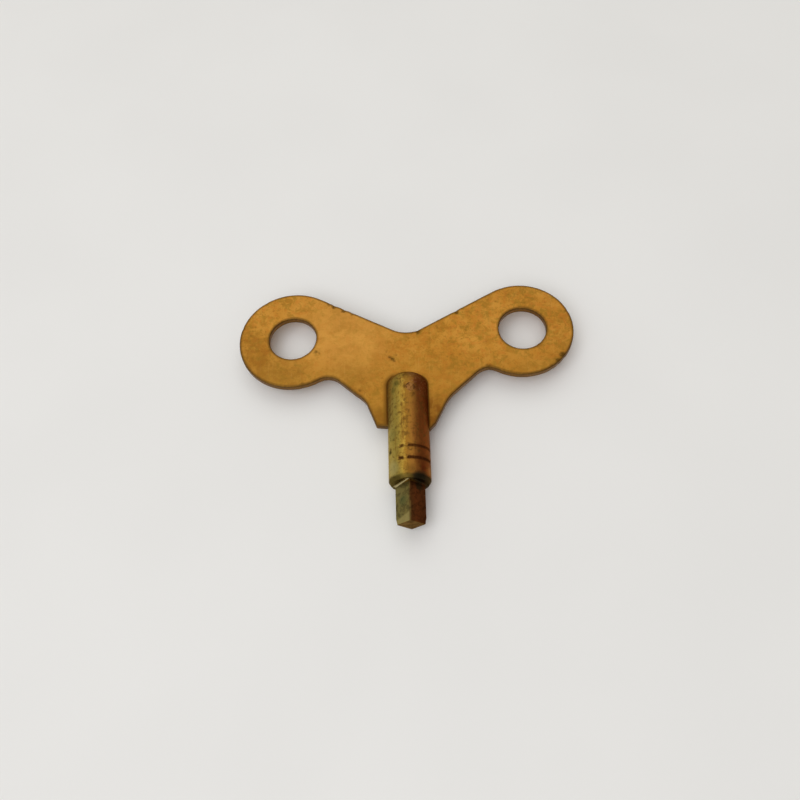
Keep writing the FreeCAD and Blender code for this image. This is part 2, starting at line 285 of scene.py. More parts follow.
# Knocks along the bow's edge, in mm: across and up from the bow's centre, width, depth.
KNOCKS = [
    (-19.6, 10.4, 0.7, 0.10), (-18.2, 9.7, 0.9, 0.16), (-15.6, 8.2, 0.9, 0.14), (-13.5, 7.0, 0.7, 0.08),
    (2.9, 0.8, 1.0, 0.13), (12.9, 6.1, 0.9, 0.16), (39.3, -8.6, 1.2, 0.18), (37.9, -10.2, 1.0, 0.12),
    (36.0, -11.6, 0.8, 0.08), (20.4, -10.9, 1.4, 0.10), (-11.4, -17.6, 0.8, 0.08), (-41.9, 3.4, 0.8, 0.08),
    (41.6, 4.9, 0.7, 0.06), (-26.0, -13.8, 0.9, 0.07), (-36.4, 11.0, 0.7, 0.06), (25.4, 12.7, 0.7, 0.06),
]
# Dents in the faces, in mm: across and up from the bow's centre, front (1) or back (-1), radius, depth.
DENTS = [
    (-3.5, -7.4, 1, 0.55, 0.09), (-4.3, -6.7, 1, 0.45, 0.07), (-2.5, -6.3, 1, 0.40, 0.05),
    (-3.0, -8.0, 1, 0.40, 0.05), (-5.0, -5.2, 1, 0.45, 0.04), (-22.9, -4.3, 1, 0.55, 0.06),
    (-22.0, -4.8, 1, 0.40, 0.04), (14.2, -2.4, 1, 0.50, 0.03), (-12.6, 1.4, 1, 0.45, 0.03),
    (33.6, 8.9, 1, 0.45, 0.03), (-35.2, -7.2, 1, 0.60, 0.03), (9.8, -12.2, -1, 0.60, 0.07),
    (-9.7, -6.8, -1, 0.50, 0.06), (-11.7, -16.0, 1, 0.55, 0.05), (24.9, -8.4, -1, 0.55, 0.06),
    (-31.8, 9.1, -1, 0.50, 0.06),
]
# A knock or dent this deep is as dirty as any.
FULL_KNOCK = 0.16 * MM
FULL_DENT = 0.09 * MM


def rim_profile():
    """Each ring of the rim, face to face: how far in it lies, at what height, and how dark. The darkening
    is partly tarnish and partly painted edge shade, strongest on the rounding and a little less on the
    walls.

    A known fault: the innermost ring lies further in than the ear's rounding, and folds over itself
    there.
    """
    front = [(EDGE_ROUNDING + 0.5 * MM, HALF_SHEET, 0), (EDGE_ROUNDING + 0.25 * MM, HALF_SHEET, 0.45)]
    for step in range(5):
        turn = math.pi / 8 * step
        inset = EDGE_ROUNDING * (1 - math.sin(turn))
        height = HALF_SHEET - EDGE_ROUNDING * (1 - math.cos(turn))
        front.append((inset, height, 0.8 + 0.2 * math.sin(turn)))
    wall = [(0, share * (HALF_SHEET - EDGE_ROUNDING), 0.75) for share in (0.5, 0, -0.5)]
    back = [(inset, -height, shade) for inset, height, shade in reversed(front)]
    return front + wall + back


def knock_depth(place):
    """How far the edge is knocked in at this place."""
    total = 0
    for across, up, width, depth in KNOCKS:
        away = (place - BOW_CENTRE - Vector((across, up)) * MM).length / (width * MM)
        total += depth * MM * math.exp(-away * away * 2)
    return total


def face_waviness(x, y):
    """The sheet's slight unevenness from stamping and years of use."""
    across, up = x / MM, y / MM
    slow = math.sin(across * 0.21 + 0.7) * math.cos(up * 0.27 - 0.4)
    quick = math.sin(across * 0.63 - up * 0.41 + 1.9) * 0.35
    return (slow + quick) * 0.012 * MM


def dent_depth(x, y, face):
    """How deep the front (1) or back (-1) face is dented at this place."""
    total = 0
    for across, up, side, radius, depth in DENTS:
        if side == face:
            away = math.hypot(x - across * MM, y - BOW_CENTRE.y - up * MM) / (radius * MM)
            total += depth * MM * math.exp(-away * away)
    return total


def crossings(y, loops):
    """Where a level line crosses the loops."""
    found = []
    for loop in loops:
        for first, second in zip(loop, loop[1:] + loop[:1]):
            if (first.y > y) != (second.y > y):
                found.append(lerp(first.x, second.x, (y - first.y) / (second.y - first.y)))
    return found


def is_inside(x, crossed):
    return sum(place > x for place in crossed) % 2 == 1


def scattered_points(loops, spacing=0.75 * MM):
    """Points in uneven rows over the face inside the loops, with rings of more round each dent."""
    edge = [place for loop in loops for place in loop]
    left, right = min(place.x for place in edge), max(place.x for place in edge)
    low, high = min(place.y for place in edge), max(place.y for place in edge)
    random.seed(SEED)
    points = []
    row_height = spacing * 0.87
    for row in range(1, int((high - low) / row_height) + 1):
        y = low + (row + random.uniform(-0.1, 0.1)) * row_height
        crossed = crossings(y, loops)
        for column in range(int((right - left) / spacing) + 1):
            x = left + (column + 0.5 * (row % 2) + random.uniform(-0.12, 0.12)) * spacing
            if is_inside(x, crossed):
                points.append(Vector((x, y)))
    for across, up, _, radius, _ in DENTS:
        centre = BOW_CENTRE + Vector((across, up)) * MM
        for share in (0.4, 0.8, 1.2):
            ring = hole_outline(centre, radius * share * MM, 0.2 * MM)
            points += [place for place in ring if is_inside(place.x, crossings(place.y, loops))]
    return points


def clear_of_edge(points, edge, margin=0.35 * MM):
    """The points that no edge point comes nearer to than the margin, looked up in 1 mm cells."""
    cells = {}
    for place in edge:
        cells.setdefault((place.x // MM, place.y // MM), []).append(place)
    kept = []
    for place in points:
        column, row = place.x // MM, place.y // MM
        near = [other for i in (-1, 0, 1) for j in (-1, 0, 1)
                for other in cells.get((column + i, row + j), [])]
        if all((place - other).length > margin for other in near):
            kept.append(place)
    return kept


def face_triangles(loops):
    """The face inside the loops as triangles: its points, with the loops' own points first."""
    edge = [place for loop in loops for place in loop]
    points = edge + clear_of_edge(scattered_points(loops), edge)
    flat, _, triangles, origin, _, _ = delaunay_2d_cdt(points, [], [], 0, 1e-9, True)
    source = [before[0] for before in origin]
    kept = []
    for corners in triangles:
        middle = sum((flat[index] for index in corners), Vector((0, 0))) / 3
        on_edge = all(source[index] < len(edge) for index in corners)
        if not on_edge or is_inside(middle.x, crossings(middle.y, loops)):
            kept.append([source[index] for index in corners])
    return points, kept


def make_bow(material):
    """The stamped sheet: two faces joined by a rounded rim, and by a wall in each hole."""
    loops = [bow_outline()]
    for name in ("finger_hole_right", "finger_hole_left"):
        centre = Vector(MOUNTS[name]["pos_m"][:2])
        loops.append(hole_outline(centre, HOLE_RADIUS)[::-1])
    vertices, faces, wear, rim, rings = [], [], [], [], []
    for loop in loops:
        normals = outward_normals(loop)
        knocks = [knock_depth(place) for place in loop]
        ring_of_loop = []
        for inset, height, shade in rim_profile():
            ring = []
            for place, normal, knock in zip(loop, normals, knocks):
                inner = place - normal * (inset + knock)
                ring.append(len(vertices))
                vertices.append([inner.x, inner.y, height])
                wear.append(min(1, knock / FULL_KNOCK))
                rim.append(shade)
            ring_of_loop.append(ring)
        for upper, lower in zip(ring_of_loop, ring_of_loop[1:]):
            faces += between_rings(upper, lower)
        rings.append(ring_of_loop)

    flat_loops = [[Vector(vertices[index][:2]) for index in ring[0]] for ring in rings]
    points, triangles = face_triangles(flat_loops)
    for face in (1, -1):
        ids = [index for ring in rings for index in ring[0 if face > 0 else -1]]
        for place in points[len(ids):]:
            ids.append(len(vertices))
            vertices.append([place.x, place.y, face * HALF_SHEET])
            wear.append(0)
            rim.append(0)
        for corners in triangles:
            corners = [ids[index] for index in corners]
            faces.append(corners if face > 0 else corners[::-1])

    for index, (x, y, z) in enumerate(vertices):
        face = 1 if z > 0 else -1
        dent = dent_depth(x, y, face) * abs(z) / HALF_SHEET
        vertices[index][2] = z + face_waviness(x, y) - face * dent
        wear[index] = max(wear[index], min(1, dent / FULL_DENT))
    piece = new_piece("bow", vertices, faces, material)
    set_mask(piece, "wear", wear)
    set_mask(piece, "rim", rim)
    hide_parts("bow_plate")


# ---- shank ----------------------------------------------------------------------------------

def bar_radius(height):
    """The turned bar's radius at a height above the drive's end, without its rings."""
    if height < SHOULDER_HEIGHT + SHOULDER_SLOPE:
        share = (height - SHOULDER_HEIGHT) / SHOULDER_SLOPE
        return lerp(SHOULDER_RADIUS, SHANK_RADIUS, share)
    over = height - (SHANK_TOP - DOME_RADIUS)
    if over > 0:
        return SHANK_RADIUS - DOME_RADIUS + math.sqrt(max(0, DOME_RADIUS ** 2 - over ** 2))
    return SHANK_RADIUS


# Where the turned rings are still sharp: from and to these angles, anticlockwise seen from the
# drive's end with 0 on the bow's right. Elsewhere years of wiping have nearly filled them.
SHARP_RINGS = ((8, 93), (107, 119), (182, 300), (318, 350))


def ring_sharpness(angle, height):
    """How much of its depth a turned ring still has here. The worn stretches slant a little."""
    turned = math.degrees(angle) + (height - RING_HEIGHTS[0]) / MM
    inside = [smooth_step(turned, low - 4, low + 2) * (1 - smooth_step(turned, high - 2, high + 4))
              for low, high in SHARP_RINGS]
    return 0.12 + 0.88 * max(inside)


def ring_depth(angle, height):
    """How deep a turned ring is cut here."""
    for ring in RING_HEIGHTS:
        away = abs(height - ring)
        if away < RING_RADIUS:
            return math.sqrt(RING_RADIUS ** 2 - away ** 2) * ring_sharpness(angle, height)
    return 0


def ring_dirt(angle, height):
    """How much dirt lies here, in a ring or smeared beside it; the lower ring holds the most."""
    away = min(abs(height - ring) for ring in RING_HEIGHTS)
    fullness = 0.75 if abs(height - RING_HEIGHTS[1]) < 1 * MM else 1
    return fullness * ring_sharpness(angle, height) * (1 - smooth_step(away, 0.15 * MM, 0.7 * MM))


# How far the filed root of the square strays up the bar at each corner: right, front, left, back.
CORNER_LIFTS = (0, 0.6 * MM, -0.35 * MM, 0)


def root_lift(angle):
    """How far the root strays here: it runs straight along each flat."""
    corner, turn = divmod(angle, math.pi / 2)
    along = math.sin(turn) / (math.sin(turn) + math.cos(turn))
    return lerp(CORNER_LIFTS[int(corner) % 4], CORNER_LIFTS[(int(corner) + 1) % 4], along)


def root_highlight(angle):
    """How strong the painted highlight along the root is: only along the flat on the bow's front left."""
    turned = math.degrees(angle)
    return smooth_step(turned, 84, 100) * (1 - smooth_step(turned, 172, 186))


def square_reach(angle, half):
    """The distance from the axis to a square with rounded corners on the axes."""
    turned = angle - math.pi / 4
    power = abs(math.cos(turned)) ** SQUARE_POWER + abs(math.sin(turned)) ** SQUARE_POWER
    return half / power ** (1 / SQUARE_POWER)


def bar_angles():
    """Angles round the bar, closer together at the square's corners and the slot's mouth."""
    angles = {round(step * 2.5, 3) for step in range(144)}
    for corner in (0, 90, 180, 270):
        angles |= {(corner + step) % 360 for step in (-4, -3, -2, -1.4, -0.7, 0.7, 1.4, 2, 3, 4)}
    slot = math.degrees(SLOT_ANGLE)
    for mouth in (slot, 180 - slot, 180 + slot, 360 - slot):
        angles = {angle for angle in angles if abs(angle - mouth) > 1.1}
        angles.add(round(mouth, 6))
    return [math.radians(angle) for angle in sorted(angles)]


def square_rings():
    """Height and half width of each square ring, from the end face up to the shoulder."""
    rings = []
    for share in (0, 0.06, 0.14, 0.4, 0.7, 0.9, 1):
        rings.append((share * LEAD_IN_LENGTH, SQUARE_HALF - LEAD_IN_DEPTH * (1 - share)))
    plain = SHOULDER_HEIGHT - ROOT_RADIUS
    for step in range(1, 17):
        rings.append((lerp(LEAD_IN_LENGTH, plain, step / 16), SQUARE_HALF))
    for step in range(1, 6):
        turn = math.pi / 2 * step / 5
        swell = ROOT_RADIUS * (1 - math.cos(turn))
        rings.append((plain + ROOT_RADIUS * math.sin(turn), SQUARE_HALF + swell))
    for spread in (1.4, 1.8):
        rings.append((SHOULDER_HEIGHT, SQUARE_HALF + ROOT_RADIUS * spread))
    return rings


def round_heights():
    """The heights of the round rings up to the slot's floor, closer together round the turned rings."""
    heights = set()
    height = SHOULDER_HEIGHT + SHOULDER_SLOPE + 0.15 * MM
    while height < SLOT_FLOOR:
        heights.add(round(height, 7))
        height += 0.45 * MM
    for ring in RING_HEIGHTS:
        heights = {height for height in heights if abs(height - ring) > 0.75 * MM}
        for step in range(-5, 6):
            heights.add(ring + RING_RADIUS * math.sin(math.pi / 2 * step / 5))
        for beside in (0.32, 0.42, 0.55, 0.7):
            heights |= {ring - beside * MM, ring + beside * MM}
    heights = {height for height in heights if height < SLOT_FLOOR - 0.1 * MM} | {SLOT_FLOOR}
    slope = [SHOULDER_HEIGHT + SHOULDER_SLOPE * (0.04 + 0.24 * step) for step in range(5)]
    return slope + sorted(heights)


def lower_rings():
    """Each ring from the end face to the slot's floor: height, and half width or else radius."""
    rings = [(height, half, None) for height, half in square_rings()]
    rings.append((SHOULDER_HEIGHT, None, SHOULDER_RADIUS * 0.97))
    return rings + [(height, None, bar_radius(height)) for height in round_heights()]


def bar_point(angle, height, half, radius):
    """A point of the bar, on a square ring of this half width or else on a round one."""
    if half is None:
        reach = radius - ring_depth(angle, height)
    else:
        reach = square_reach(angle, half)
        near_root = smooth_step(height, SHOULDER_HEIGHT - 3 * MM, SHOULDER_HEIGHT - ROOT_RADIUS)
        height += root_lift(angle) * near_root
    return [reach * math.cos(angle), height, reach * math.sin(angle)]


def bar_marks(angle, height, half):
    """What a point of the bar carries, 0 to 1 each: ring dirt, a painted highlight along the root and
    painted shade on the shoulder.
    """
    past_root = height > SHOULDER_HEIGHT - ROOT_RADIUS * 0.9
    on_root = past_root and half is not None and half < SQUARE_HALF + ROOT_RADIUS * 1.5
    fading = smooth_step(height, SHOULDER_HEIGHT + 0.9 * SHOULDER_SLOPE,
                         SHOULDER_HEIGHT + 1.6 * SHOULDER_SLOPE)
    return ring_dirt(angle, height), on_root * root_highlight(angle), past_root * (1 - fading)


def make_shank(material):
    """The bar as rings of points: square drive, shoulder, rings, and the two cheeks of the fork."""
    angles = bar_angles()
    vertices, faces, marks, levels = [], [], [], []
    for height, half, radius in lower_rings():
        levels.append(range(len(vertices), len(vertices) + len(angles)))
        vertices += [bar_point(angle, height, half, radius) for angle in angles]
        marks += [bar_marks(angle, height, half) for angle in angles]
    for lower, upper in zip(levels, levels[1:]):
        faces += between_rings(lower, upper)
    end_face(vertices, faces, levels[0])

    top = levels[-1]
    low = SLOT_ANGLE - ANGLE_SLACK
    floor_rows = []
    for side, start in ((1, 0), (-1, math.pi)):
        base = [index for index, angle in zip(top, angles) if low <= angle - start <= math.pi - low]
        floor_rows.append(make_cheek(vertices, faces, base, side))
    slot_floor(vertices, faces, top, angles, floor_rows)

    piece = new_piece("shank_bar", vertices, faces, material)
    marks += [(0, 0, 0)] * (len(vertices) - len(marks))
    for name, values in zip(("groove", "root", "shoulder"), zip(*marks)):
        set_mask(piece, name, values)
    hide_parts("shank")


def end_face(vertices, faces, ring):
    """The drive's end, closed by smaller and smaller rings round its middle."""
    outer = ring
    for share in (0.96, 0.8, 0.5, 0.2):
        inner = []
        for index in ring:
            x, y, z = vertices[index]
            inner.append(len(vertices))
            vertices.append([x * share, y, z * share])
        faces += between_rings(inner, outer)
        outer = inner
    faces.append(tuple(outer))


def cheek_heights():
    """The heights of a cheek's rows above the slot's floor, closer together over the dome."""
    plain_top = SHANK_TOP - DOME_RADIUS
    straight = [lerp(SLOT_FLOOR, plain_top, step / 30) for step in range(1, 31)]
    dome = [plain_top + DOME_RADIUS * math.sin(math.pi / 2 * step / 12) for step in range(1, 13)]
    return straight + dome


def inner_row(vertices, left, right, height, side, steps=14):
    """Points across a cheek's flat inner wall, between two of its outer corners."""
    row = []
    for step in range(1, steps):
        row.append(len(vertices))
        vertices.append([lerp(left, right, step / steps), height, side * SLOT_HALF])
    return row


def make_cheek(vertices, faces, base, side):
    """One cheek of the fork on top of the bar. Returns its row of points on the slot's floor."""
    columns = len(base)
    inner = inner_row(vertices, vertices[base[-1]][0], vertices[base[0]][0], SLOT_FLOOR, side)
    last = base + inner
    for height in cheek_heights():
        radius = bar_radius(height)
        low = math.asin(min(1, SLOT_HALF / radius))
        ring = []
        for column in range(columns):
            angle = lerp(low, math.pi - low, column / (columns - 1))
            if height < SHANK_TOP - DOME_RADIUS:
                x, _, z = vertices[base[column]]
                angle = math.atan2(z * side, x * side)
            ring.append(len(vertices))
            vertices.append([side * radius * math.cos(angle), height, side * radius * math.sin(angle)])
        ring += inner_row(vertices, vertices[ring[-1]][0], vertices[ring[0]][0], height, side)
        faces += between_rings(last, ring)
        last = ring
    faces.append(tuple(last[::-1]))
    return [base[-1]] + inner + [base[0]]


def slot_floor(vertices, faces, ring, angles, rows):
    """The slot's floor, between the two cheeks' feet.

    A known fault: the border takes the slot's mouths in the wrong order, so this face crosses itself.
    """
    low = SLOT_ANGLE - ANGLE_SLACK
    right = [index for index, angle in zip(ring, angles) if angle < low or angle > math.tau - low]
    right.sort(key=lambda index: vertices[index][2])
    left = [index for index, angle in zip(ring, angles) if abs(angle - math.pi) < low]
    left.sort(key=lambda index: -vertices[index][2])
    upper, lower = rows
    border = upper + left + lower + right
    faces.append(tuple(border[::-1]))


# ---- cross pin ------------------------------------------------------------------------------

def make_pin(material):
    """The pin, with both peened ends swelling a little over the shank's own curve."""
    vertices, faces, borders = [], [], []
    for side in (1, -1):
        rings = []
        for share in (0.25, 0.5, 0.7, 0.85, 0.94, 1):
            ring = []
            for step in range(PIN_POINTS):
                angle = math.tau * step / PIN_POINTS * side
                x = PIN_ACROSS + PIN_RADIUS * share * math.cos(angle)
                y = PIN_HEIGHT + PIN_RADIUS * share * math.sin(angle)
                crown = math.sqrt(SHANK_RADIUS ** 2 - x * x)
                proud = PIN_PROUD * (1 - share ** 4 - smooth_step(share, 0.9, 1))
                hammered = PIN_PROUD * 0.6 * math.sin(angle * 3 + 1) * share * (1 - share) * 4
                ring.append(len(vertices))
                vertices.append([x, y, side * (crown + proud + hammered)])
            rings.append(ring)
        middle = len(vertices)
        vertices.append([PIN_ACROSS, PIN_HEIGHT, side * (SHANK_RADIUS + PIN_PROUD * 0.7)])
        faces += [(middle, rings[0][step], rings[0][(step + 1) % PIN_POINTS]) for step in range(PIN_POINTS)]
        for inner, outer in zip(rings, rings[1:]):
            faces += between_rings(inner, outer)
        borders.append(rings[-1])
    front, back = borders
    faces += between_rings(front, [back[-step] for step in range(PIN_POINTS)])
    piece = new_piece("pin", vertices, faces, material)
    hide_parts("cross_pin")


# ---- materials ------------------------------------------------------------------------------

class Shader:
    """A material's node tree, with short ways to add the nodes that these metals use."""

    def __init__(self, name):
        self.material = bpy.data.materials.new(name)
        self.material.use_nodes = True
        self.tree = self.material.node_tree
        self.surface = self.tree.nodes["Principled BSDF"]
        self.place = self.node("ShaderNodeTexCoord").outputs["Object"]

    def node(self, kind, **settings):
        node = self.tree.nodes.new(kind)
        for name, value in settings.items():
            setattr(node, name, value)
        return node

    def link(self, source, target):
        if hasattr(source, "is_output"):
            self.tree.links.new(source, target)
        else:
            target.default_value = source

    def stretched(self, scale, turn=(0, 0, 0), shift=(0, 0, 0)):
        """The place in millimetres, turned and stretched."""
        mapping = self.node("ShaderNodeMapping")
        self.link(self.place, mapping.inputs["Vector"])
        mapping.inputs["Scale"].default_value = [value / MM for value in scale]
        mapping.inputs["Rotation"].default_value = turn
        mapping.inputs["Location"].default_value = shift
        return mapping.outputs["Vector"]

    def noise(self, scale, detail=3, roughness=0.5, distortion=0, stretch=(1, 1, 1),
              turn=(0, 0, 0), shift=(0, 0, 0)):
        """Noise with so many blots to the millimetre."""
        noise = self.node("ShaderNodeTexNoise")
        self.link(self.stretched(stretch, turn, shift), noise.inputs["Vector"])
        noise.inputs["Scale"].default_value = scale
        noise.inputs["Detail"].default_value = detail
        noise.inputs["Roughness"].default_value = roughness
        noise.inputs["Distortion"].default_value = distortion
        return noise.outputs["Fac"]

    def ramp(self, value, low, high, first=0.0, last=1.0):
        """Maps low..high to first..last, smoothly and with nothing beyond."""
        node = self.node("ShaderNodeMapRange", interpolation_type="SMOOTHSTEP")
        self.link(value, node.inputs["Value"])
        node.inputs["From Min"].default_value = low
        node.inputs["From Max"].default_value = high
        node.inputs["To Min"].default_value = first
        node.inputs["To Max"].default_value = last
        return node.outputs["Result"]

    def math(self, operation, first, second=0.0):
        node = self.node("ShaderNodeMath", operation=operation)
        self.link(first, node.inputs[0])
        self.link(second, node.inputs[1])
        return node.outputs[0]

    def times(self, first, *others):
        """The product of masks and numbers."""
        for other in others:
            first = self.math("MULTIPLY", first, other)
        return first

    def swing(self, noise, reach):
        """Noise that swings about zero, a reach wide in all."""
        return self.times(self.math("SUBTRACT", noise, 0.5), reach)

    def length(self, across, up):
        """How long a step so far across and so far up is."""
        return self.math("SQRT", self.math("ADD", self.times(across, across), self.times(up, up)))

    def mix(self, share, first, second, blend="MIX"):
        """One colour laid over another."""
        node = self.node("ShaderNodeMix", data_type="RGBA", blend_type=blend)
        self.link(share, node.inputs["Factor"])
        self.link(first, node.inputs["A"])
        self.link(second, node.inputs["B"])
        return node.outputs["Result"]

    def axis(self, name):
        """One coordinate of the place, in millimetres."""
        split = self.node("ShaderNodeSeparateXYZ")
        self.link(self.stretched((1, 1, 1)), split.inputs[0])
        return split.outputs[name]

    def spot(self, place, inner, outer, wobble=0.0):
        """1 within the inner radius of a place in mm, 0 beyond the outer, with a ragged edge."""
        away = self.node("ShaderNodeVectorMath", operation="DISTANCE")
        self.link(self.stretched((1, 1, 1)), away.inputs[0])
        away.inputs[1].default_value = place
        ragged = self.swing(self.noise(2.2 / max(outer, 0.8), 3, 0.6), wobble)
        return self.ramp(self.math("ADD", away.outputs["Value"], ragged), inner, outer, 1, 0)

    def stained(self, colour, stains, wobble, *mottle):
        """Stains laid over a colour. Each has a place, inner and outer radius, strength and colour."""
        for place, inner, outer, strength, stain in stains:
            share = self.times(self.spot(place, inner, outer, wobble), strength, *mottle)
            colour = self.mix(share, colour, srgb(*stain))
        return colour

    def bands(self, value, stops):
        """Colours laid out along a value, each melting into the next."""
        first, last = stops[0][0], stops[-1][0]
        node = self.node("ShaderNodeValToRGB")
        self.link(self.math("DIVIDE", self.math("SUBTRACT", value, first), last - first),
                  node.inputs["Fac"])
        elements = node.color_ramp.elements
        while len(elements) < len(stops):
            elements.new(0.5)
        for element, (place, colour) in zip(elements, stops):
            element.position = (place - first) / (last - first)
            element.color = srgb(*colour)
        return node.outputs["Color"]

    def mask(self, name):
        """A value that the mesh holds at each vertex."""
        return self.node("ShaderNodeAttribute", attribute_name=name).outputs["Fac"]

    def bump(self, height, strength, distance, normal=None):
        node = self.node("ShaderNodeBump")
        self.link(height, node.inputs["Height"])
        node.inputs["Strength"].default_value = strength
        node.inputs["Distance"].default_value = distance
        if normal:
            self.link(normal, node.inputs["Normal"])
        return node.outputs["Normal"]

    def metal(self, colour, rough, normal):
        """The finished material: bare metal of this colour, roughness and relief."""
        self.surface.inputs["Metallic"].default_value = 1.0
        self.link(colour, self.surface.inputs["Base Color"])
        self.link(rough, self.surface.inputs["Roughness"])
        self.link(normal, self.surface.inputs["Normal"])
        return self.material


def srgb(red, green, blue):
    """A colour named by its 0..255 screen values, as the linear colour that a shader takes."""
    channels = [value / 255 for value in (red, green, blue)]
    linear = [c / 12.92 if c <= 0.04045 else ((c + 0.055) / 1.055) ** 2.4 for c in channels]
    return (*linear, 1)


def scratches(shader):
    """Where fine scuffs run, in three directions: 1 on a scuff and 0 between them."""
    total = 0.0
    for turn, shift, threshold in ((0.5, 0, 0.66), (-0.9, 11, 0.68), (1.7, 23, 0.67)):
        line = shader.noise(1.0, 2, 0.5, 0.4, stretch=(7, 0.16, 1), turn=(0, 0, turn),
                            shift=(shift, shift, 0))
        total = shader.math("MAXIMUM", shader.ramp(line, threshold, threshold + 0.05), total)
    return total


def beside_shank(shader, up):
    """Distance in mm from the line where the shank's cheek stands on the bow's face."""
    cheek_half = math.sqrt(SHANK_RADIUS ** 2 - SLOT_HALF ** 2)
    inside = (cheek_half - DOME_RADIUS) / MM
    across = shader.math("SUBTRACT", shader.math("ABSOLUTE", shader.axis("X")), inside)
    above = shader.math("SUBTRACT", up, (SHANK_TOP - DOME_RADIUS) / MM)
    away = shader.length(shader.math("MAXIMUM", across, 0.0), shader.math("MAXIMUM", above, 0.0))
    return shader.math("SUBTRACT", away, DOME_RADIUS / MM)


# Tarnish on the bow's face: place in mm, inner and outer radius in mm, strength, colour.
BOW_STAINS = [
    ((-40.5, 45.0, 0.9), 3, 12, 0.6, (138, 92, 30)),
    ((-31.0, 39.5, 0.9), 2, 9, 0.5, (140, 100, 36)),
    ((-22.7, 46.4, 0.9), 0.2, 1.3, 0.5, (112, 88, 32)),
    ((33.4, 45.5, 0.9), 0.2, 1.5, 0.5, (146, 88, 28)),
    ((2.0, 46.5, 0.9), 3, 15, 0.35, (160, 106, 32)),
    ((-15.0, 38.0, 0.9), 2, 8, 0.35, (142, 98, 34)),
    ((-6.6, 26.0, 0.9), 1.5, 6, 0.45, (112, 74, 22)),
    ((6.4, 26.5, 0.9), 2, 8.5, 0.75, (116, 68, 20)),
    ((40.0, 42.5, 0.9), 1, 8, 0.3, (150, 104, 38)),
]


def sheet_colour(shader, cloud, up):
    """Golden brass with a painted highlight on the left wing, where the tarnish is fainter, and soft orange
    and ochre tarnish elsewhere.
    """
    blotch = shader.noise(0.36, 4, 0.66, 0.5, shift=(2, 9, 0))
    patch = shader.noise(0.6, 4, 0.66, 0.5, shift=(31, 17, 5))
    rust = shader.noise(0.62, 3, 0.62, 0.3, shift=(51, 7, 2))
    speckle = shader.noise(1.5, 3, 0.65, shift=(5, 5, 5))
    colour = shader.mix(shader.ramp(cloud, 0.38, 0.64), srgb(192, 136, 56), srgb(190, 130, 48))
    # Painted highlight: a broad paler spot on the left wing; the tarnish layers below are weaker under it.
    left_wing_highlight = shader.spot((-15, 51.5, 0.9), 4, 22, wobble=5)
    colour = shader.mix(shader.times(left_wing_highlight, 0.75), colour, srgb(198, 142, 66))
    tarnish_outside_highlight = shader.ramp(left_wing_highlight, 0.1, 0.95, 1, 0.35)
    for layer, low, high, strength, stain in ((blotch, 0.46, 0.66, 0.75, (160, 112, 38)),
                                              (patch, 0.47, 0.64, 0.7, (150, 112, 38)),
                                              (rust, 0.48, 0.66, 0.55, (186, 116, 44)),
                                              (speckle, 0.54, 0.7, 0.5, (132, 92, 30))):
        share = shader.times(shader.ramp(layer, low, high, 0, strength), tarnish_outside_highlight)
        colour = shader.mix(share, colour, srgb(*stain))
    height = shader.math("ADD", up, shader.swing(cloud, 9.0))
    colour = shader.mix(shader.ramp(height, 23, 38, 0.65, 0), colour, srgb(146, 98, 30))
    colour = shader.mix(shader.ramp(height, 38, 47, 0.4, 0), colour, srgb(158, 112, 40))
    return shader.stained(colour, BOW_STAINS, 4, shader.ramp(rust, 0.38, 0.6, 0.5, 1))


def painted_shade_beside_shank(shader, colour, up):
    """Painted shade on the bow's face beside the shank, most of all on the shank's left, and a thin painted
    contact shadow round the cheek.
    """
    beside = beside_shank(shader, up)
    # Painted shade: a soft dark band beside the shank, strongest on its left.
    shade_band = shader.times(shader.ramp(beside, 0.4, 1.5, 0.75, 0),
                        shader.ramp(shader.axis("X"), -4.0, -2.0, 1, 0.25))
    colour = shader.mix(shade_band, colour, srgb(104, 70, 22))
    # Painted contact shadow: a thin dark line where the cheek meets the face.
    contact_shadow = shader.ramp(beside, 0.15, 0.55, 0.95, 0)
    return shader.mix(contact_shadow, colour, srgb(78, 46, 12))


def bow_material():
    """The bow's sheet brass, with scuffs, a dark rim that is partly tarnish and partly painted edge shade,
    dirt in its knocks and dents, and painted shade beside the shank.
    """
    shader = Shader("bow_sheet_brass")
    up = shader.axis("Y")
    cloud = shader.noise(0.16, 4, 0.62, 0.6, shift=(8, 5, 0))
    grain = shader.noise(1.7, 3, 0.6, shift=(9, 2, 4))
    scuff = scratches(shader)
    rim = shader.times(shader.mask("rim"), shader.ramp(grain, 0.2, 0.6, 0.65, 1))
    dirt = shader.times(shader.ramp(shader.mask("wear"), 0.1, 0.9),
                        shader.ramp(grain, 0.3, 0.55, 0.4, 0.9))

    colour = sheet_colour(shader, cloud, up)
    colour = shader.mix(shader.times(scuff, 0.12), colour, srgb(222, 176, 104))
    colour = painted_shade_beside_shank(shader, colour, up)
    # The dark rim: partly tarnish, partly painted edge shade.
    colour = shader.mix(rim, colour, srgb(98, 70, 30))
    colour = shader.mix(dirt, colour, srgb(102, 72, 24))

    rough = shader.math("ADD", shader.ramp(cloud, 0.3, 0.7, 0.4, 0.52), shader.times(dirt, 0.2))
    normal = shader.bump(shader.noise(0.9, 5, 0.62), 0.35, 0.03 * MM)
    normal = shader.bump(scuff, 0.25, -0.01 * MM, normal)
    return shader.metal(colour, rough, normal)
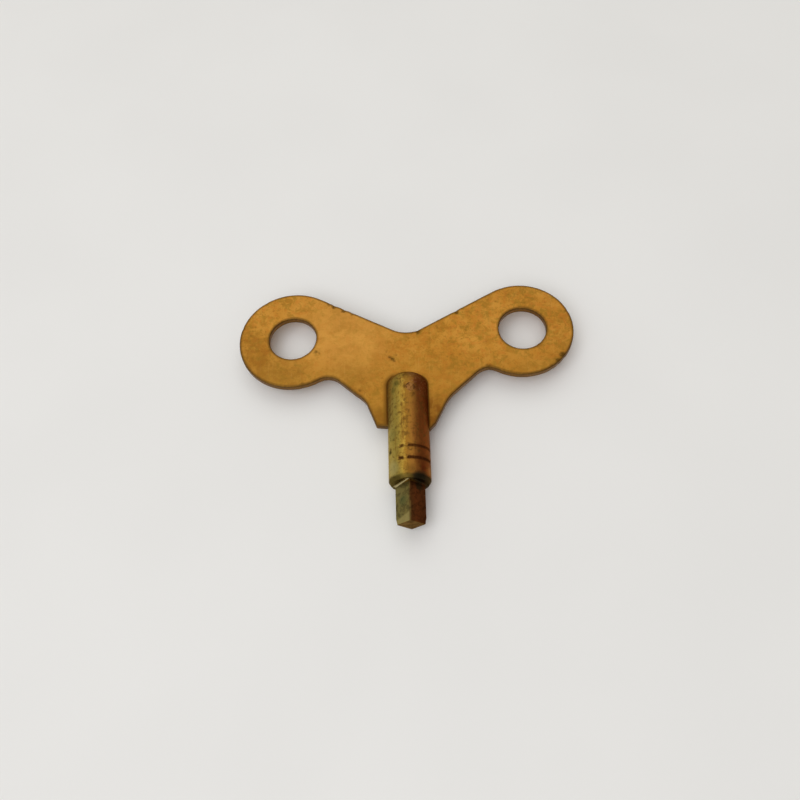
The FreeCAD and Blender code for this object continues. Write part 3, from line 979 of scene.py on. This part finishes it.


# Stains on the shank, in the form of the bow's; the two darkest, by the shoulder on the right, are painted
# shade.
SHANK_STAINS = [
    ((-2.5, 34.4, 4.3), 0.3, 1.3, 0.6, (74, 72, 28)),
    ((-3.4, 32.8, 3.7), 0.2, 1.1, 0.5, (78, 78, 32)),
    ((2.6, 34.6, 4.2), 0.4, 1.7, 0.5, (104, 42, 24)),
    ((1.0, 36.9, 4.0), 0.3, 1.5, 0.35, (166, 122, 70)),
    ((1.5, 31.3, 4.8), 0.1, 0.7, 0.6, (84, 50, 20)),
    ((-0.5, 33.3, 5.0), 0.2, 0.9, 0.7, (78, 48, 20)),
    ((2.3, 33.0, 4.5), 0.2, 1.2, 0.5, (92, 44, 22)),
    ((3.3, 12.2, 3.7), 0.3, 1.2, 0.55, (104, 26, 12)),
    ((4.7, 12.0, 1.6), 0.3, 1.6, 0.5, (176, 126, 70)),
    # Painted shade, not stains: the shoulder's right side and the root just below it.
    ((2.5, 9.8, 3.9), 0.8, 2.4, 0.9, (38, 38, 28)),
    ((2.0, 8.9, 1.6), 0.5, 1.6, 0.8, (44, 40, 24)),
    ((-4.4, 17.0, 2.3), 0.2, 0.9, 0.9, (52, 46, 20)),
    ((3.7, 14.6, 3.4), 0.8, 3.4, 0.5, (98, 46, 20)),
    ((0.2, 11.8, 5.0), 0.3, 1.9, 0.5, (98, 66, 26)),
    ((-1.7, 5.4, 1.9), 0.4, 1.9, 0.45, (66, 88, 52)),
    ((-3.9, 21.0, 3.1), 0.4, 2.4, 0.4, (124, 122, 66)),
    ((-4.0, 12.6, 3.0), 0.6, 3.0, 0.6, (176, 164, 108)),
]
# Colours across the bar and across the drive, from the bow's left to its right: where in mm, colour. Each
# is partly tarnish and partly painted light: the bar's bright gold at -1.9 mm is a painted highlight, and
# its darker red-brown right side and the drive's dark right flats are painted shade.
BAR_TARNISH_AND_LIGHT = [
    (-4.6, (184, 162, 86)), (-3.0, (180, 153, 71)), (-1.9, (194, 156, 67)), (-0.4, (146, 104, 38)),
    (1.2, (158, 107, 46)), (2.6, (146, 84, 37)), (4.4, (132, 66, 28)),
]
DRIVE_TARNISH_AND_SHADE = [
    (-2.8, (128, 116, 68)), (-0.5, (130, 114, 64)), (0.2, (96, 58, 28)), (1.2, (110, 58, 28)),
    (2.6, (88, 46, 22)),
]


def bar_colour(shader, across, up, wander, streak, blotch, speckle, flecks):
    """Partly tarnish, partly painted light: olive on the left and red-brown on the right, with blotches, a
    dome dulled by painted shade, and pale flecks by it.
    """
    # Painted light over the tarnish's hue: a highlight left of the middle and shade on the right.
    colour = shader.bands(shader.math("ADD", across, wander), BAR_TARNISH_AND_LIGHT)
    colour = shader.mix(shader.ramp(blotch, 0.49, 0.66, 0, 0.7), colour, srgb(108, 76, 32))
    colour = shader.mix(shader.ramp(streak, 0.54, 0.7, 0, 0.4), colour, srgb(120, 84, 36))
    colour = shader.mix(shader.ramp(speckle, 0.54, 0.76, 0, 0.35), colour, srgb(92, 66, 28))
    # Painted shade: the dome's top darkened and mottled.
    crown = shader.times(shader.ramp(up, 33.5, 37.5, 0, 0.5), shader.ramp(blotch, 0.36, 0.6, 0.4, 1))
    colour = shader.mix(crown, colour, srgb(104, 70, 30))
    flecked = shader.times(shader.ramp(across, -0.2, 1.4), shader.ramp(up, 30.5, 33),
                           shader.ramp(flecks, 0.52, 0.64, 0, 0.6))
    return shader.mix(flecked, colour, srgb(176, 122, 84))


def drive_colour(shader, colour, across, up, wander, blotch):
    """The drive over the bar's colour: two-toned flats, partly tarnish and partly painted shade on the
    right, lead-in pale on the left, brown end face.
    """
    drive = shader.ramp(up, SHOULDER_HEIGHT / MM - 0.35, SHOULDER_HEIGHT / MM - 0.1, 1, 0)
    flats_tarnish_and_shade = shader.bands(shader.math("ADD", across, shader.times(wander, 0.3)), DRIVE_TARNISH_AND_SHADE)
    colour = shader.mix(drive, colour, flats_tarnish_and_shade)
    smear = shader.times(shader.ramp(blotch, 0.44, 0.62, 0, 0.7), drive)
    colour = shader.mix(smear, colour, srgb(176, 176, 186), "MULTIPLY")
    slant = shader.math("SUBTRACT", up, shader.times(across, 0.4))
    lead_in = shader.times(shader.ramp(slant, 2.0, 2.6, 1, 0), shader.ramp(across, -0.6, -0.1, 0.75, 0))
    colour = shader.mix(lead_in, colour, srgb(172, 154, 96))
    end = shader.mix(shader.ramp(blotch, 0.4, 0.62), srgb(112, 76, 30), srgb(80, 50, 19))
    return shader.mix(shader.ramp(up, 0.02, 0.1, 0.92, 0), colour, end)


def shank_material():
    """Turned bar brass with stains, painted shade on its shoulder, dirt in its rings and a painted
    highlight along its root.
    """
    shader = Shader("shank_bar_brass")
    across, up = shader.axis("X"), shader.axis("Y")
    cloud = shader.noise(0.3, 4, 0.6, 0.5, shift=(4, 2, 7))
    streak = shader.noise(0.8, 3, 0.6, 0.2, stretch=(1.6, 0.22, 1.6), shift=(1, 6, 3))
    blotch = shader.noise(0.95, 4, 0.65, 0.4, shift=(11, 6, 3))
    speckle = shader.noise(2.2, 3, 0.62)
    flecks = shader.noise(1.9, 3, 0.6, 0.4, shift=(17, 3, 9))
    wander = shader.math("ADD", shader.swing(cloud, 3.0), shader.swing(streak, 2.6))
    wander = shader.math("ADD", wander, shader.swing(flecks, 1.5))
    groove = shader.mask("groove")

    colour = bar_colour(shader, across, up, wander, streak, blotch, speckle, flecks)
    colour = drive_colour(shader, colour, across, up, wander, blotch)
    colour = shader.stained(colour, SHANK_STAINS, 0.9)
    # Painted shade on the shoulder's slope, darkest on the right.
    shoulder_shade = shader.mix(shader.ramp(across, 0.2, 1.2), srgb(74, 62, 26), srgb(38, 34, 22))
    colour = shader.mix(shader.times(shader.mask("shoulder"), 0.9), colour, shoulder_shade)
    grit = shader.times(shader.ramp(groove, 0, 0.9), shader.ramp(speckle, 0.35, 0.6, 0.62, 0.9))
    colour = shader.mix(grit, colour, srgb(78, 38, 16))
    # A painted highlight along the square's root.
    colour = shader.mix(shader.mask("root"), colour, srgb(186, 170, 124))

    rough = shader.math("ADD", shader.ramp(blotch, 0.3, 0.7, 0.38, 0.52), shader.times(groove, 0.2))
    turned = shader.noise(1.0, 3, 0.6, stretch=(0.05, 7, 0.05))
    normal = shader.bump(turned, 0.2, 0.02 * MM)
    normal = shader.bump(shader.noise(1.3, 4, 0.6), 0.3, 0.03 * MM, normal)
    shader.surface.inputs["Specular Tint"].default_value = srgb(228, 218, 194)
    return shader.metal(colour, rough, normal)


def pin_material():
    """The pin's brass, paler where it was dressed flush, with a dark line round it."""
    shader = Shader("cross_pin_brass")
    blotch = shader.noise(1.4, 4, 0.6)
    across = shader.math("SUBTRACT", shader.axis("X"), PIN_ACROSS / MM)
    up = shader.math("SUBTRACT", shader.axis("Y"), PIN_HEIGHT / MM)
    colour = shader.mix(shader.ramp(blotch, 0.4, 0.65), srgb(160, 112, 60), srgb(116, 74, 36))
    ring = shader.times(shader.ramp(shader.length(across, up), 0.5, 1.1),
                        shader.ramp(across, -0.9, 0.2, 0.9, 0.3),
                        shader.ramp(blotch, 0.36, 0.56, 0.3, 1))
    colour = shader.mix(ring, colour, srgb(74, 44, 20))
    return shader.metal(colour, shader.ramp(blotch, 0.3, 0.7, 0.34, 0.5),
                        shader.bump(blotch, 0.4, 0.04 * MM))


def floor_material():
    """A plain pale matte floor."""
    shader = Shader("pale_floor")
    shade = shader.mix(shader.ramp(shader.noise(0.02, 2), 0.3, 0.7), srgb(238, 236, 234),
                       srgb(236, 234, 232))
    shader.link(shade, shader.surface.inputs["Base Color"])
    shader.surface.inputs["Roughness"].default_value = 0.85
    return shader.material


# ---- stage ----------------------------------------------------------------------------------

def make_floor():
    """A flat floor just under the shank and its pin."""
    mesh = bpy.data.meshes.new("floor")
    height = SHANK_LOW.z - PIN_PROUD - FLOOR_GAP
    corners = [(across * FLOOR_HALF, up * FLOOR_HALF, height)
               for across, up in ((-1, -1), (1, -1), (1, 1), (-1, 1))]
    mesh.from_pydata(corners, [], [(0, 1, 2, 3)])
    mesh.materials.append(floor_material())
    floor = bpy.data.objects.new("floor", mesh)
    bpy.context.scene.collection.objects.link(floor)


def add_softbox(name, place, target, width, depth, power, colour):
    light = bpy.data.lights.new(name, "AREA")
    light.shape = "RECTANGLE"
    light.size = width
    light.size_y = depth
    light.energy = power
    light.color = colour
    item = bpy.data.objects.new(name, light)
    item.location = place
    item.rotation_euler = (Vector(target) - item.location).to_track_quat("-Z", "Y").to_euler()
    bpy.context.scene.collection.objects.link(item)


def make_lights():
    """Soft boxes behind and in front of the key."""
    middle = (0, BOW_CENTRE.y, 0)
    add_softbox("back_light", (-0.02, 0.42, 0.74), middle, 0.9, 0.8, 1.7, (1.0, 0.99, 0.97))
    add_softbox("front_light", (-0.3, -0.45, 0.88), middle, 1.0, 0.9, 5.3, (0.96, 0.975, 1.03))


def make_room():
    """A dim room round the key, darker and warmer on the right."""
    world = bpy.data.worlds.new("room")
    world.use_nodes = True
    tree = world.node_tree
    place = tree.nodes.new("ShaderNodeTexCoord")
    split = tree.nodes.new("ShaderNodeSeparateXYZ")
    ramp = tree.nodes.new("ShaderNodeValToRGB")
    background = tree.nodes["Background"]
    tree.links.new(place.outputs["Generated"], split.inputs[0])
    tree.links.new(split.outputs["X"], ramp.inputs["Fac"])
    tree.links.new(ramp.outputs["Color"], background.inputs["Color"])
    left, right = ramp.color_ramp.elements
    left.position, left.color = 0.0, (0.62, 0.64, 0.60, 1)
    right.position, right.color = 0.5, (0.40, 0.36, 0.33, 1)
    background.inputs["Strength"].default_value = 0.8
    bpy.context.scene.world = world


def make_camera():
    """Looks down at the bow's face from the drive's end, close by."""
    data = bpy.data.cameras.new("camera")
    data.sensor_width = 36
    data.lens = CAMERA_LENS
    data.clip_start = 0.01
    camera = bpy.data.objects.new("camera", data)
    turn = Matrix.Rotation(CAMERA_AZIMUTH, 4, "Z")
    turn = turn @ Matrix.Rotation(math.pi / 2 - CAMERA_ELEVATION, 4, "X")
    turn = turn @ Matrix.Rotation(CAMERA_ROLL, 4, "Z")
    back = Matrix.Translation((0, 0, CAMERA_DISTANCE))
    camera.matrix_world = Matrix.Translation(CAMERA_TARGET) @ turn @ back
    bpy.context.scene.collection.objects.link(camera)
    bpy.context.scene.camera = camera


make_bow(bow_material())
make_shank(shank_material())
make_pin(pin_material())
make_floor()
make_lights()
make_room()
make_camera()
bpy.context.scene.view_settings.view_transform = "Standard"
